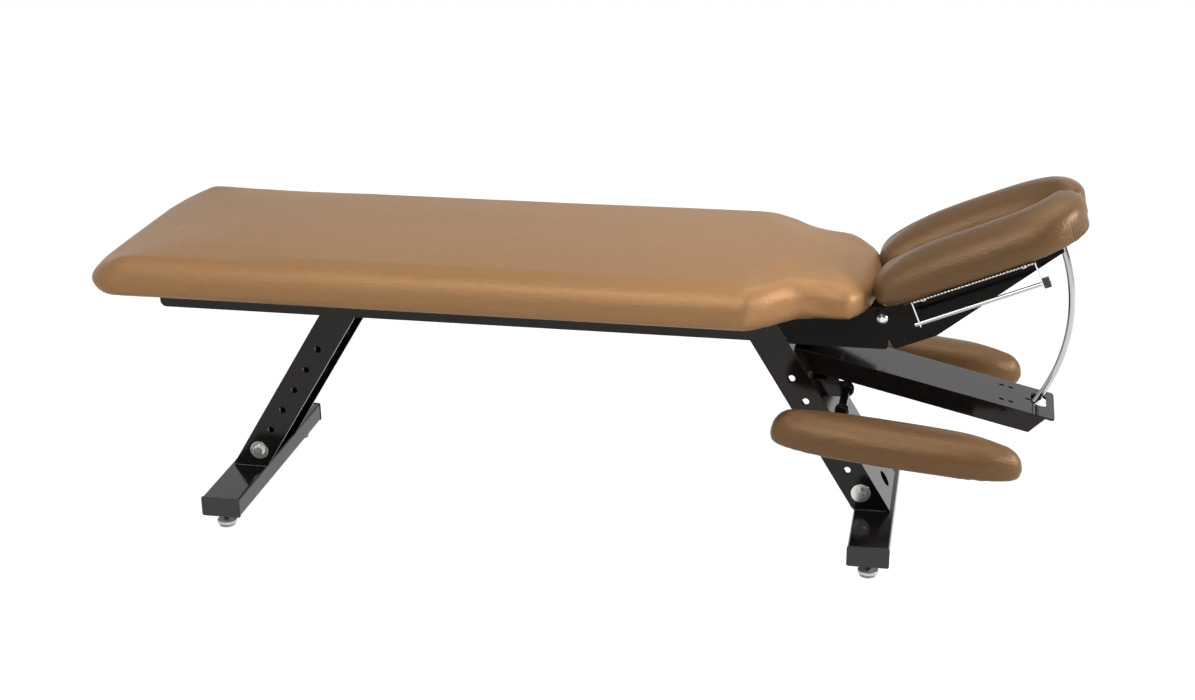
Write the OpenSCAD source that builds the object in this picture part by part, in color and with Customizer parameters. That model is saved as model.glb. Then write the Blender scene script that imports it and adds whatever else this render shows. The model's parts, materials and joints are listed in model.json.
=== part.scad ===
/* [Layout] */
// Distance from the origin to the foot end of the body cushion
foot_reach = 924.4; // [884:0.1:964]
// Underside of the foot bars above the floor
bar_lift = 30; // [26:1:34]
// Top of the steel spine above the floor at the lowest setting
spine_top = 477; // [465:1:490]
// Foot end of the body cushion to the middle of the foot-end bar
foot_bar_inset = 235; // [210:1:260]
// Middle of the head-end bar behind the headpiece pivot
head_bar_back = 1; // [0:1:12]
// Headpiece pivot past the neck end of the body cushion
pivot_past_neck = 10; // [10:1:16]
// Headpiece pivot below the top of the spine
pivot_drop = 19; // [18:0.5:22]
// Angle of the headpiece above level, as photographed
head_tilt = 22.5; // [18:0.5:22.5]
// Angle of the legs from the floor
leg_angle = 58.66; // [56:0.5:61]
// Slope of the head beam below level
beam_slope = 13.3; // [11:0.1:15]

/* [Body cushion] */
// Length of the body cushion
body_len = 1474; // [1440:1:1500]
// Width of the body cushion
body_w = 520; // [500:1:550]
// Width of the narrow neck of the body cushion
neck_w = 342; // [320:1:350]
// Thickness of the body cushion at its rim
body_t = 80; // [70:1:90]
// Extra height of the crown in the middle of the body cushion
body_crown = 5; // [2:0.5:10]
// Radius of the two corners at the foot end
foot_corner_r = 67; // [55:1:90]
// Bow of the foot end between its corners
foot_bow = 5; // [2:1:14]
// How many times farther the foot end slopes in than the long sides do
foot_taper = 2.9; // [1:0.1:3.2]
// Height that the crown loses at the foot end
foot_drop = 5; // [0:1:10]
// Draw-in of each long side at its middle
side_draw = 3; // [0:0.5:8]
// Length of the stretch from full width to the neck end
neck_run = 234; // [200:1:260]

/* [Headpiece] */
// Length of one head cushion
lobe_len = 407; // [380:1:430]
// Outer edge of a head cushion to the middle of the headpiece
lobe_reach = 148; // [144:1:156]
// Thickness of a head cushion with its crown
lobe_t = 79; // [66:1:86]
// Start of the head cushions past the pivot
lobe_start = 5; // [5:0.5:12]
// Underside of the head cushions above the pivot, square to the headpiece
lobe_lift = 28; // [26:0.5:32]
// Depth of a headpiece side plate below the pivot
head_plate_drop = 62; // [50:1:70]
// Length of the deep part of a headpiece side plate
head_plate_deep = 82; // [60:1:110]
// Length of a headpiece side plate past the pivot
head_plate_len = 345; // [320:1:370]
// Radius of the curved bar that sets the tilt, about the pivot
arc_r = 338; // [331:1:345]
// Diameter of the curved bar
arc_d = 12.7; // [10:0.1:14]
// Angle below level at which the curved bar enters the head beam
arc_entry = 32.4; // [30:0.1:35]

/* [Legs] */
// Width of a leg channel across the table
leg_w = 176; // [160:1:190]
// Depth of a leg channel, square to its length
leg_d = 61; // [54:1:68]
// Thickness of the outer leg steel
leg_t = 5; // [4:0.5:6]
// Spacing of the height holes
hole_pitch = 52.4; // [48:0.1:56]
// Number of height holes
hole_count = 6; // [4:1:6]
// Diameter of a height hole
hole_d = 13.5; // [13:0.1:16]
// First height hole above the foot bar, along the leg
first_hole = 42; // [38:1:46]
// Diameter of a height bolt
bolt_d = 12; // [10:0.5:12.5]
// Leg centre line inside the middle of its foot bar
leg_in = 4; // [0:1:8]
// Length of a foot bar
bar_len = 485; // [460:1:510]
// Width of a foot bar
bar_w = 76; // [70:1:84]
// Height of a foot bar
bar_h = 38; // [34:1:42]
// Wall of a foot bar
bar_t = 3; // [2:0.5:4]
// Leveler to the end of its bar
leveler_inset = 24; // [22:1:40]
// Diameter of a leveler foot
leveler_d = 38; // [30:1:42]
// Diameter of a leveler screw
leveler_screw_d = 12; // [8:1:14]

/* [Spine and beam] */
// Depth of the spine channel
spine_h = 80; // [74:1:86]
// Thickness of the spine steel
spine_t = 4; // [3:0.5:5]
// Foot end of the spine from the foot end of the cushion
spine_inset = 77; // [60:1:100]
// Radius of the lower corners of the spine at the foot end
spine_corner_r = 12; // [4:1:20]
// Width of the head beam
beam_w = 130; // [120:1:136]
// Depth of the head beam
beam_h = 38; // [34:1:42]
// Thickness of the head beam steel
beam_t = 4; // [3:0.5:5]
// Head beam past the curved bar
beam_nose = 36; // [33:1:42]

/* [Arm rests] */
// Length of an arm cushion
arm_len = 452; // [420:1:480]
// Width of an arm cushion
arm_w = 108; // [96:1:118]
// Thickness of an arm cushion with its crown
arm_t = 66; // [58:1:72]
// Arm cushion centre line to the middle of the table
arm_off = 232; // [226:1:240]
// Slope of the arm rests below level
arm_slope = 5.7; // [3:0.1:8]
// Arm rod behind the headpiece pivot
arm_rod_back = 63; // [60:1:70]
// Gap between the lugs of the arm rod and the underside of the head beam
arm_rod_clear = 3.2; // [2.6:0.1:9]
// Diameter of the arm rod
arm_rod_d = 16; // [12:1:18]

/* [Paper holder] */
// Length of the paper holder bracket
paper_len = 229; // [210:1:240]
// Start of the paper holder past the pivot
paper_start = 67; // [64:1:72]
// Depth of the paper holder bracket
paper_drop = 47; // [40:1:52]
// Paper holder to the middle of the headpiece
paper_off = 138; // [134:1:140]
// Diameter of the paper rod
paper_rod_d = 8; // [6:0.5:9]

/* [Hidden] */

$fn = 48;
// Clearances
run_gap = 0.075;
seat_gap = 0.3;
slide_gap = 0.8;
pass_gap = 1;
cut_over = 1;

// Steel and board thicknesses that the photograph does not show
board_t = 12;
board_rim = 16;
plate_t = 5;
strap_t = 5;
washer_t = 1.5;
inner_t = 4;

// Colours
vinyl = [0.60, 0.44, 0.28];
black_paint = [0.10, 0.10, 0.11];
zinc = [0.78, 0.78, 0.76];
chrome = [0.86, 0.87, 0.88];
plywood = [0.76, 0.62, 0.42];
black_plastic = [0.08, 0.08, 0.08];
glide_white = [0.86, 0.84, 0.78];

// Places along the table
foot_end_x = -foot_reach;
neck_end_x = foot_end_x + body_len;
pivot_x = neck_end_x + pivot_past_neck;
pivot_z = spine_top - pivot_drop;
spine_bottom = spine_top - spine_h;
bar_top = bar_lift + bar_h;
foot_bar_x = foot_end_x + foot_bar_inset;
head_bar_x = pivot_x - head_bar_back;
leg_lean = 90 - leg_angle;
leg_rise = sin(leg_angle);
leg_travel = hole_pitch * (hole_count - 1);

// Frames of the moving assemblies
module head_frame() { translate([pivot_x, 0, pivot_z]) rotate([0, -head_tilt, 0]) children(); }
module foot_leg() {
    translate([foot_bar_x + leg_in, 0, bar_top]) mirror([1, 0, 0]) rotate([0, -leg_lean, 0]) children();
}
module head_leg() {
    translate([head_bar_x - leg_in, 0, bar_top]) rotate([0, -leg_lean, 0]) children();
}
// The same two frames for outlines that are drawn in X and Z
module foot_leg_plane() {
    translate([foot_bar_x + leg_in, bar_top]) mirror([1, 0]) rotate(leg_lean) children();
}
module head_leg_plane() { translate([head_bar_x - leg_in, bar_top]) rotate(leg_lean) children(); }
module both_sides() { children(); mirror([0, 1, 0]) children(); }
module across(d, len) { rotate([90, 0, 0]) cylinder(d = d, h = len, center = true); }
// A plate standing along the table: its outline is drawn in X and Z
module standing_plate(y_out, t) { translate([0, y_out, 0]) rotate([90, 0, 0]) linear_extrude(t) children(); }
module rounded_box(size, r) {
    translate([0, 0, -size[2] / 2]) linear_extrude(size[2])
        rounded_rect(size[0], size[1], r);
}
module rounded_rect(w, h, r) {
    union() {
        square([w - 2 * r, h], center = true);
        square([w, h - 2 * r], center = true);
        for (sx = [-1, 1], sy = [-1, 1])
            translate([sx * (w / 2 - r), sy * (h / 2 - r)]) circle(r);
    }
}

// Cushion form: rings of points, each drawn in from the outline toward its own centre point.
// A level is [inset, share of what is left, height, share of the point's own extras]. The extras
// of a point are its extra height and how many times farther it slopes in.
// The rings run clockwise seen from above and hold an even number of points. Rungs close the top.
least_ring = 0.1;
function ring_point(p, c, inset, part) =
    let (v = p - c, d = norm(v))
    c + v / d * max(d - inset, d * least_ring) * (1 - part);
module cushion_form(pairs, levels) {
    n = len(pairs);
    m = len(levels);
    points = [for (l = levels) for (q = pairs)
        let (p = ring_point(q[0], q[1], l[0] * (1 + (q[3] - 1) * l[3]), l[1]))
        [p[0], p[1], l[2] + l[3] * q[2]]];
    sides = [for (j = [0 : m - 2], i = [0 : n - 1]) let (k = (i + 1) % n)
        each [[j * n + i, j * n + k, (j + 1) * n + i], [j * n + k, (j + 1) * n + k, (j + 1) * n + i]]];
    bottom = [for (i = [n - 1 : -1 : 0]) i];
    top = [for (i = [0 : n / 2 - 2]) let (a = (m - 1) * n + i, b = m * n - 1 - i)
        each [[a, a + 1, b], [a + 1, b - 1, b]]];
    polyhedron(points, concat([bottom], sides, top));
}
// Levels of an upholstered pad from its board recess, round its rolled rim, to its crown
function pad_levels(t, crown, rim, recess) = [
    [rim, 0, recess, 0], [rim, 0, 0, 0], [t * 0.07, 0, 0, 0], [0, 0, t * 0.25, 0.25],
    [t * 0.035, 0, t * 0.51, 0.5], [t * 0.12, 0, t * 0.70, 0.7], [t * 0.27, 0, t * 0.86, 0.86],
    [t * 0.46, 0, t * 0.955, 0.95], [t * 0.46, 0.4, t + crown * 0.45, 1], [t * 0.46, 0.8, t + crown, 1]];

// Smooth curve through hand-picked points
function spline_at(a, b, c, d, t) =
    (2 * b + (c - a) * t + (2 * a - 5 * b + 4 * c - d) * t * t + (3 * b - a - 3 * c + d) * t * t * t) / 2;
function smooth(pts, steps) = [
    for (i = [1 : len(pts) - 3]) for (s = [0 : steps - 1])
        spline_at(pts[i - 1], pts[i], pts[i + 1], pts[i + 2], s / steps)];
function mirrored(pts) = [for (i = [len(pts) - 1 : -1 : 0]) [pts[i][0], -pts[i][1]]];
function clamp(v, a, b) = min(max(v, a), b);

// Body cushion outline: shares of the neck run, and of the half width between neck and body
neck_shares = [
    [-0.30, 1], [0, 1], [0.05, 0.985], [0.175, 0.73], [0.335, 0.30], [0.44, 0.10], [0.585, 0],
    [0.73, 0.01], [0.82, -0.06]];
// Shares of the neck run and of the neck half width, round the neck end
neck_end_shares = [[0.90, 0.81], [0.945, 0.67], [0.975, 0.50], [0.993, 0.28], [1, 0], [0.993, -0.28]];
body_half = body_w / 2;
neck_half = neck_w / 2;
shoulder_x = neck_end_x - neck_run;
function foot_x(y) = foot_end_x + foot_bow * pow(y / body_half, 2);
function body_outline_half() = let (
    corner_c = [foot_x(body_half) + foot_corner_r, body_half - foot_corner_r],
    foot_edge = [for (s = [0 : 3]) let (y = (body_half - foot_corner_r) * s / 4) [foot_x(y), y]],
    corner = [for (a = [0 : 15 : 90]) corner_c + foot_corner_r * [-cos(a), sin(a)]],
    run = shoulder_x - neck_run * 0.3 - corner_c[0],
    side = [for (s = [1 : 7]) [corner_c[0] + run * s / 8, body_half - side_draw * sin(180 * s / 8)]],
    neck = [for (q = neck_shares)
        [shoulder_x + neck_run * q[0], neck_half + (body_half - neck_half) * q[1]]],
    tip = [for (q = neck_end_shares) [shoulder_x + neck_run * q[0], neck_half * q[1]]],
    curve = smooth(concat([side[6]], neck, tip), 2))
    concat(foot_edge, corner, side, curve);
body_half_pts = body_outline_half();
body_pts = concat(body_half_pts, [[neck_end_x, 0]],
    [for (p = mirrored(body_half_pts)) if (p[1] < -seat_gap) p]);
function body_centre(p) = [clamp(p[0], foot_end_x + body_half, neck_end_x - neck_half), 0];
// 1 along the foot end, falling to 0 round its two corners
function foot_part(p) = pow(clamp((foot_x(body_half) + foot_corner_r - p[0]) / foot_corner_r, 0, 1), 2);
body_pairs = [for (p = body_pts)
    [p, body_centre(p), -foot_drop * foot_part(p), 1 + (foot_taper - 1) * foot_part(p)]];

// Head cushion outline in the headpiece frame, as shares of its length and of its reach: a point
// on the edge, its own centre point, and how far its crest lies below the full thickness
lobe_shares = [
    [0, 0.62, 0.13, 0.60, 0.2], [0.004, 0.75, 0.13, 0.62, 0.2], [0.022, 0.85, 0.13, 0.62, 0.18],
    [0.065, 0.925, 0.15, 0.61, 0.15], [0.14, 0.965, 0.18, 0.60, 0.1], [0.28, 0.99, 0.28, 0.605, 0.03],
    [0.42, 1, 0.42, 0.615, 0], [0.56, 1, 0.56, 0.62, 0], [0.70, 0.975, 0.69, 0.61, 0],
    [0.80, 0.91, 0.76, 0.59, 0], [0.885, 0.80, 0.82, 0.53, 0], [0.95, 0.65, 0.86, 0.44, 0],
    [0.985, 0.47, 0.875, 0.36, 0], [1, 0.28, 0.88, 0.27, 0], [0.992, 0.11, 0.885, 0.24, 0],
    [0.965, 0.03, 0.88, 0.23, 0], [0.92, 0.012, 0.87, 0.23, 0], [0.87, 0.04, 0.855, 0.27, 0],
    [0.82, 0.11, 0.82, 0.36, 0], [0.75, 0.185, 0.75, 0.50, 0], [0.64, 0.23, 0.64, 0.60, 0],
    [0.50, 0.245, 0.50, 0.62, 0], [0.36, 0.24, 0.36, 0.61, 0], [0.22, 0.215, 0.24, 0.60, 0.05],
    [0.11, 0.20, 0.17, 0.58, 0.12], [0.045, 0.235, 0.14, 0.57, 0.16], [0.012, 0.33, 0.13, 0.57, 0.2],
    [0.001, 0.47, 0.13, 0.59, 0.2]];
lobe_loop = concat([lobe_shares[len(lobe_shares) - 1]], lobe_shares, [lobe_shares[0], lobe_shares[1]]);
lobe_pairs = [for (q = smooth(lobe_loop, 2)) [
    [lobe_start + lobe_len * q[0], lobe_reach * q[1]], [lobe_start + lobe_len * q[2], lobe_reach * q[3]],
    -lobe_t * q[4], 1]];

// Arm cushion outline in the arm frame: an oblong that tapers a little at both ends
arm_half = arm_len / 2;
arm_steps = 24;
arm_rear = 121;
arm_taper = 0.12;
arm_end_power = 3.6;
arm_side_power = 2.2;
arm_crest = 0.78;
arm_mid = arm_half - arm_rear;
function arm_round(u) = pow(max(1 - pow(abs(u), arm_end_power), 0), 1 / arm_side_power);
function arm_point(u, side) = [
    arm_mid + arm_half * u, side * arm_w / 2 * (1 - arm_taper * u * u) * arm_round(u)];
function arm_centre(u) = [arm_mid + arm_half * clamp(u, -arm_crest, arm_crest), 0];
arm_pairs = concat(
    [for (i = [0 : arm_steps]) let (u = -cos(180 * i / arm_steps)) [arm_point(u, 1), arm_centre(u), 0, 1]],
    [for (i = [1 : arm_steps - 1]) let (u = cos(180 * i / arm_steps))
        [arm_point(u, -1), arm_centre(u), 0, 1]]);

module pad_board(pairs, rim) {
    linear_extrude(board_t) polygon([for (q = pairs) ring_point(q[0], q[1], rim, 0)]);
}

// Spine
spine_w = leg_w - 2 * leg_t;
spine_x0 = foot_end_x + spine_inset;
spine_back = 62;
spine_x1 = pivot_x - spine_back;
spine_r = spine_corner_r;
module spine_side() {
    difference() {
        translate([spine_x0, spine_bottom]) square([spine_x1 - spine_x0, spine_h]);
        translate([spine_x0, spine_bottom]) difference() {
            translate([-cut_over, -cut_over]) square(spine_r + cut_over);
            translate([spine_r, spine_r]) circle(spine_r);
        }
    }
}
module spine_channel() {
    color(black_paint) difference() {
        standing_plate(spine_w / 2, spine_w) spine_side();
        translate([spine_x0 + spine_t, -spine_w / 2 + spine_t, spine_bottom - cut_over])
            cube([spine_x1 - spine_x0, spine_w - 2 * spine_t, spine_h - spine_t + cut_over]);
        for (p = board_screw_places()) translate([p[0], p[1], spine_top - spine_t - cut_over])
            cylinder(d = board_screw_d + 2 * seat_gap, h = spine_t + 2 * cut_over);
    }
}
module spine_end_cap() {
    color(black_paint) translate([spine_x1, -spine_w / 2 + spine_t, spine_bottom + spine_t])
        cube([spine_t, spine_w - 2 * spine_t, spine_h - 2 * spine_t]);
}

// Neck plates carry the headpiece pivot
pivot_bolt_d = 10;
neck_plate_bore = pivot_bolt_d + 2 * run_gap;
neck_ear_r = 17;
neck_plate_nose = 12;
neck_corner_r = 7;
leg_face_x = head_bar_x - leg_in + (leg_d / 2) / leg_rise;
function leg_edge_x(z) = leg_face_x - (z - bar_top) / tan(leg_angle);
module neck_outline() {
    difference() {
        union() {
            polygon([
                [leg_edge_x(spine_bottom), spine_bottom],
                [pivot_x + neck_plate_nose - neck_corner_r, spine_bottom],
                [pivot_x + neck_plate_nose, spine_bottom + neck_corner_r],
                [pivot_x + neck_ear_r, pivot_z], [pivot_x, pivot_z + neck_ear_r],
                [pivot_x - neck_ear_r, pivot_z + neck_ear_r],
                [leg_edge_x(pivot_z + neck_ear_r), pivot_z + neck_ear_r]]);
            translate([pivot_x + neck_plate_nose - neck_corner_r, spine_bottom + neck_corner_r])
                circle(neck_corner_r);
            translate([pivot_x, pivot_z]) circle(neck_ear_r);
        }
        translate([pivot_x, pivot_z]) circle(d = neck_plate_bore);
    }
}
module neck_plate() { color(black_paint) standing_plate(leg_w / 2, leg_t) neck_outline(); }

// Body board with its screws
board_screw_d = 5;
board_screw_head_d = 11;
board_screw_head_t = 3;
board_screw_depth = 9;
board_screw_ends = 60;
board_screw_side = 48;
function board_screw_places() = [
    for (i = [0 : 3], s = [-1, 1])
        [spine_x0 + board_screw_ends + (spine_x1 - spine_x0 - 2 * board_screw_ends) * i / 3,
         s * board_screw_side]];
module screw_up(d, head_d, head_t, len) {
    translate([0, 0, -head_t]) cylinder(d = head_d, h = head_t);
    cylinder(d = d, h = len);
}
module body_board() {
    color(plywood) translate([0, 0, spine_top]) difference() {
        pad_board(body_pairs, board_rim + seat_gap);
        for (p = board_screw_places()) translate([p[0], p[1], -cut_over])
            cylinder(d = board_screw_d, h = board_screw_depth + cut_over);
    }
}
module board_screws() {
    color(zinc) for (p = board_screw_places()) translate([p[0], p[1], spine_top - spine_t])
        screw_up(board_screw_d, board_screw_head_d, board_screw_head_t, spine_t + board_screw_depth);
}
module body_cushion() {
    color(vinyl) translate([0, 0, spine_top])
        cushion_form(body_pairs, pad_levels(body_t, body_crown, board_rim, board_t));
}

// Legs: the outer channel clasps the spine, the inner one slides out of it
leg_foot_gap = 2.5;
leg_tall = (spine_top - bar_top) / leg_rise;
leg_top_gap = 7;
inner_top_gap = 5;
notch_d = 32;
notch_up = 13;
inner_w = leg_w - 2 * leg_t - 2 * slide_gap;
module slab(z0, z1) {
    intersection() {
        children();
        translate([-body_len, -body_w, z0]) cube([2 * body_len, 2 * body_w, z1 - z0]);
    }
}
module leg_channel(w, x_out, t, len) {
    difference() {
        translate([-leg_d / 2, -w / 2, -len]) cube([leg_d / 2 + x_out, w, 2 * len]);
        translate([-leg_d / 2 - cut_over, -w / 2 + t, -len - cut_over])
            cube([leg_d / 2 + x_out - t + cut_over, w - 2 * t, 2 * len + 2 * cut_over]);
    }
}
module height_holes() {
    for (i = [0 : hole_count - 1]) translate([0, 0, first_hole + hole_pitch * i])
        across(hole_d, leg_w + 2 * cut_over);
}
module outer_leg_strip() { translate([-leg_d / 2, -leg_tall]) square([leg_d, 2 * leg_tall]); }
module outer_leg_hollow() {
    translate([-leg_d / 2 - cut_over, -leg_tall]) square([leg_d - leg_t + cut_over, 2 * leg_tall]);
}
module outer_leg_holes() {
    height_holes();
    translate([0, 0, leg_foot_gap + notch_up]) rotate([0, 90, 0]) cylinder(d = notch_d, h = leg_d);
}
// Children: the leg's strip and its hollow, drawn in X and Z, and its holes.
// Above the underside of the spine only the two cheeks go on, outside it.
module outer_leg() {
    color(black_paint) difference() {
        standing_plate(leg_w / 2, leg_w) intersection() {
            children(0);
            translate([-body_len, bar_top + leg_foot_gap])
                square([2 * body_len, spine_top - leg_top_gap - bar_top - leg_foot_gap]);
        }
        standing_plate(spine_w / 2, spine_w) union() {
            children(1);
            translate([-body_len, spine_bottom]) square([2 * body_len, spine_h]);
        }
        children(2);
    }
}
module leg_outer_foot() {
    outer_leg() {
        foot_leg_plane() outer_leg_strip();
        foot_leg_plane() outer_leg_hollow();
        foot_leg() outer_leg_holes();
    }
}
module leg_outer_head() {
    outer_leg() {
        head_leg_plane() outer_leg_strip();
        head_leg_plane() outer_leg_hollow();
        head_leg() outer_leg_holes();
    }
}

module inner_leg_in_frame() {
    difference() {
        leg_channel(inner_w, leg_d / 2 - leg_t - slide_gap, inner_t, leg_tall);
        for (s = [-1, 1]) translate([0, s * inner_w / 2, first_hole]) {
            across(bolt_d + 2 * run_gap, 4 * inner_t);
            translate([0, 0, leg_travel]) across(bolt_d + 2 * run_gap, 4 * inner_t);
            translate([-bolt_d / 2 - run_gap, -2 * inner_t, 0])
                cube([bolt_d + 2 * run_gap, 4 * inner_t, leg_travel]);
        }
    }
}
module inner_leg_shape() { slab(bar_top, spine_bottom - inner_top_gap) children(); }
module leg_inner_foot() { color(black_paint) inner_leg_shape() foot_leg() inner_leg_in_frame(); }
module leg_inner_head() { color(black_paint) inner_leg_shape() head_leg() inner_leg_in_frame(); }

// Foot bars, their caps, and the nuts that hold the levelers
bar_corner_r = 4;
cap_t = 3;
cap_proud = 1;
cap_plug = 14;
nut_t = 9;
nut_w = 20;
leveler_stem_top = bar_top - bar_t - pass_gap;
leveler_y = bar_len / 2 - leveler_inset;
module bar_section(w, h, r) { rounded_rect(w, h, r); }
module foot_bar(x) {
    color(black_paint) translate([x, 0, bar_lift + bar_h / 2]) difference() {
        rotate([90, 0, 0]) linear_extrude(bar_len, center = true) bar_section(bar_w, bar_h, bar_corner_r);
        rotate([90, 0, 0]) linear_extrude(bar_len + 2 * cut_over, center = true)
            bar_section(bar_w - 2 * bar_t, bar_h - 2 * bar_t, bar_corner_r / 2);
        for (s = [-1, 1]) translate([0, s * leveler_y, -bar_h / 2 - cut_over])
            cylinder(d = leveler_screw_d + 2 * run_gap, h = bar_t + 2 * cut_over);
    }
}
module bar_caps(x) {
    color(black_plastic) both_sides()
    translate([x, bar_len / 2, bar_lift + bar_h / 2]) rotate([-90, 0, 0]) {
        linear_extrude(cap_t) bar_section(bar_w + 2 * cap_proud, bar_h + 2 * cap_proud, bar_corner_r);
        translate([0, 0, -cap_plug]) linear_extrude(cap_plug)
            bar_section(bar_w - 2 * bar_t - 2 * seat_gap, bar_h - 2 * bar_t - 2 * seat_gap,
                bar_corner_r / 2);
    }
}
module leveler_nuts(x) {
    color(zinc) both_sides() translate([x, leveler_y, bar_lift - nut_t]) difference() {
        cylinder(d = nut_w / cos(30), h = nut_t, $fn = 6);
        translate([0, 0, -cut_over]) cylinder(d = leveler_screw_d + 2 * run_gap, h = nut_t + 2 * cut_over);
    }
}
leveler_pad_t = 7;
leveler_disc_t = 5;
module leveler(x, side) {
    translate([x, side * leveler_y, 0]) {
        color(glide_white)
            cylinder(d1 = leveler_d - leveler_pad_t, d2 = leveler_d - leveler_pad_t / 2, h = leveler_pad_t);
        color(zinc) translate([0, 0, leveler_pad_t]) cylinder(d = leveler_d, h = leveler_disc_t);
        color(zinc) translate([0, 0, leveler_pad_t + leveler_disc_t])
            cylinder(d = leveler_screw_d, h = leveler_stem_top - leveler_pad_t - leveler_disc_t);
    }
}

// Height bolts: head and washer on the near side, nut and washer on the far side
height_washer_d = 37;
height_washer_t = 2.5;
height_head_w = 19;
height_head_t = 8;
height_nut_t = 10;
module height_bolt_in_frame() {
    half = leg_w / 2;
    translate([0, 0, first_hole]) rotate([90, 0, 0]) {
        translate([0, 0, -half - height_washer_t - height_nut_t])
            cylinder(d = bolt_d, h = leg_w + 2 * height_washer_t + height_nut_t);
        for (z = [-half - height_washer_t, half])
            translate([0, 0, z]) cylinder(d = height_washer_d, h = height_washer_t);
        translate([0, 0, half + height_washer_t])
            cylinder(d = height_head_w / cos(30), h = height_head_t, $fn = 6);
        translate([0, 0, -half - height_washer_t - height_nut_t])
            cylinder(d = height_head_w / cos(30), h = height_nut_t, $fn = 6);
    }
}

// Head beam: an open-bottomed channel that ends past the curved bar
slot_x = pivot_x + arc_r * cos(arc_entry);
slot_z = pivot_z - arc_r * sin(arc_entry);
module beam_frame() { translate([slot_x, 0, slot_z]) rotate([0, beam_slope, 0]) children(); }
beam_back = (slot_x - leg_edge_x(spine_bottom)) / cos(beam_slope) + beam_w / 2;
function beam_under_z(x) = slot_z + (slot_x - x) * tan(beam_slope) - beam_h / cos(beam_slope);
flange_short_bottom = 3;
flange_short_top = 19;
window_near = 15;
window_far = 38;
window_len = 30;
window_back = 9;
window_r = 9;
keyhole_w = 7;
keyhole_len = 17;
vent_w = 8;
vent_l = 9;
vent_y = 35;
vent_near = 47;
vent_far = 65;
beam_nose_r = 8;
module beam_top() {
    difference() {
        union() {
            translate([-beam_back, -beam_w / 2]) square([beam_back, beam_w]);
            translate([-beam_nose, 0]) rounded_rect_to(beam_nose);
        }
        translate([window_len / 2 - window_back, (window_far - window_near) / 2])
            rounded_rect(window_len, window_far + window_near, window_r);
        translate([-keyhole_len, -keyhole_w / 2]) square([keyhole_len, keyhole_w]);
        translate([-keyhole_len, 0]) circle(d = keyhole_w);
        for (x = [vent_near, vent_far], s = [-1, 1])
            translate([-x, s * vent_y]) square([vent_l, vent_w], center = true);
    }
}
module rounded_rect_to(nose) {
    translate([nose, 0]) rounded_rect(2 * nose, beam_w, beam_nose_r);
}
module beam_in_frame() {
    translate([0, 0, -beam_t]) linear_extrude(beam_t) beam_top();
    both_sides() standing_plate(beam_w / 2, beam_t)
        difference() {
            polygon([[-beam_back, -beam_t], [-beam_back, -beam_h], [-flange_short_bottom, -beam_h],
                [flange_short_top, -beam_t]]);
            translate(lock_pin_at()) circle(d = lock_pin_d + 2 * run_gap);
        }
}
module head_beam() {
    color(black_paint) difference() {
        beam_frame() beam_in_frame();
        head_leg() translate([-beam_back - leg_d, -leg_w, -beam_back])
            cube([beam_back + leg_d * 3 / 2, 2 * leg_w, 3 * beam_back]);
        translate([pivot_x - body_len, -body_w, spine_bottom]) cube([body_len, 2 * body_w, spine_h]);
    }
}

// Tilt lock under the head beam: guide, sprung lever and its pin
guide_d = 30;
guide_len = 13;
guide_gap = 0.4;
lock_pin_back = 48;
lock_pin_d = 8;
lock_lever_t = 5;
lock_lever_w = 30;
lock_lever_over = 28;
lock_hole_d = arc_d + 3.4;
lock_hub_d = 14;
lock_hub_w = 24;
lock_spring_wire = 1.6;
lock_spring_turns = 5;
lock_pin_head = 3;
lock_pin_head_d = 13;
lock_pin_r = arc_r - lock_pin_back;
lock_lever_tip_r = arc_r + lock_lever_over;
// Angle below level at which the pin's hub lies just under the beam
lock_angle = beam_slope
    + asin((arc_r * sin(arc_entry - beam_slope) + beam_t + lock_hub_d / 2 + 2 * pass_gap) / lock_pin_r);
function rot_xz(p, a) = [p[0] * cos(a) - p[1] * sin(a), p[0] * sin(a) + p[1] * cos(a)];
// Lock pin in the beam frame, X along the beam and Z up from its top face
function lock_pin_at() = rot_xz(
    [pivot_x + lock_pin_r * cos(lock_angle) - slot_x, pivot_z - lock_pin_r * sin(lock_angle) - slot_z],
    beam_slope);
module pivot_radius(angle) { translate([pivot_x, 0, pivot_z]) rotate([0, angle, 0]) children(); }
module arc_guide() {
    ang = arc_entry + asin((beam_t + guide_len) / arc_r);
    color(black_plastic) pivot_radius(ang) translate([arc_r, 0, 0]) difference() {
        union() {
            cylinder(d = guide_d, h = guide_len, center = true);
            cube([arc_d * 2, beam_w - 2 * beam_t, guide_len * 2 / 3], center = true);
        }
        cylinder(d = arc_d + 2 * guide_gap, h = 2 * guide_len, center = true);
    }
}
module lock_pin() {
    color(zinc) pivot_radius(lock_angle) translate([lock_pin_r, 0, 0]) {
        across(lock_pin_d, beam_w + 2 * lock_pin_head);
        for (s = [-1, 1]) translate([0, s * (beam_w + lock_pin_head) / 2, 0])
            across(lock_pin_head_d, lock_pin_head);
    }
}
module lock_lever() {
    color(black_paint) pivot_radius(lock_angle) difference() {
        union() {
            translate([lock_pin_r, 0, 0]) across(lock_hub_d, lock_hub_w);
            translate([(lock_pin_r + lock_lever_tip_r) / 2, 0, 0])
                rounded_box([lock_lever_tip_r - lock_pin_r, lock_lever_w, lock_lever_t], lock_lever_t);
        }
        translate([lock_pin_r, 0, 0]) across(lock_pin_d + 2 * run_gap, lock_lever_w + 2 * cut_over);
        translate([arc_r, 0, -lock_lever_t]) cylinder(d = lock_hole_d, h = 2 * lock_lever_t);
    }
}
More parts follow.
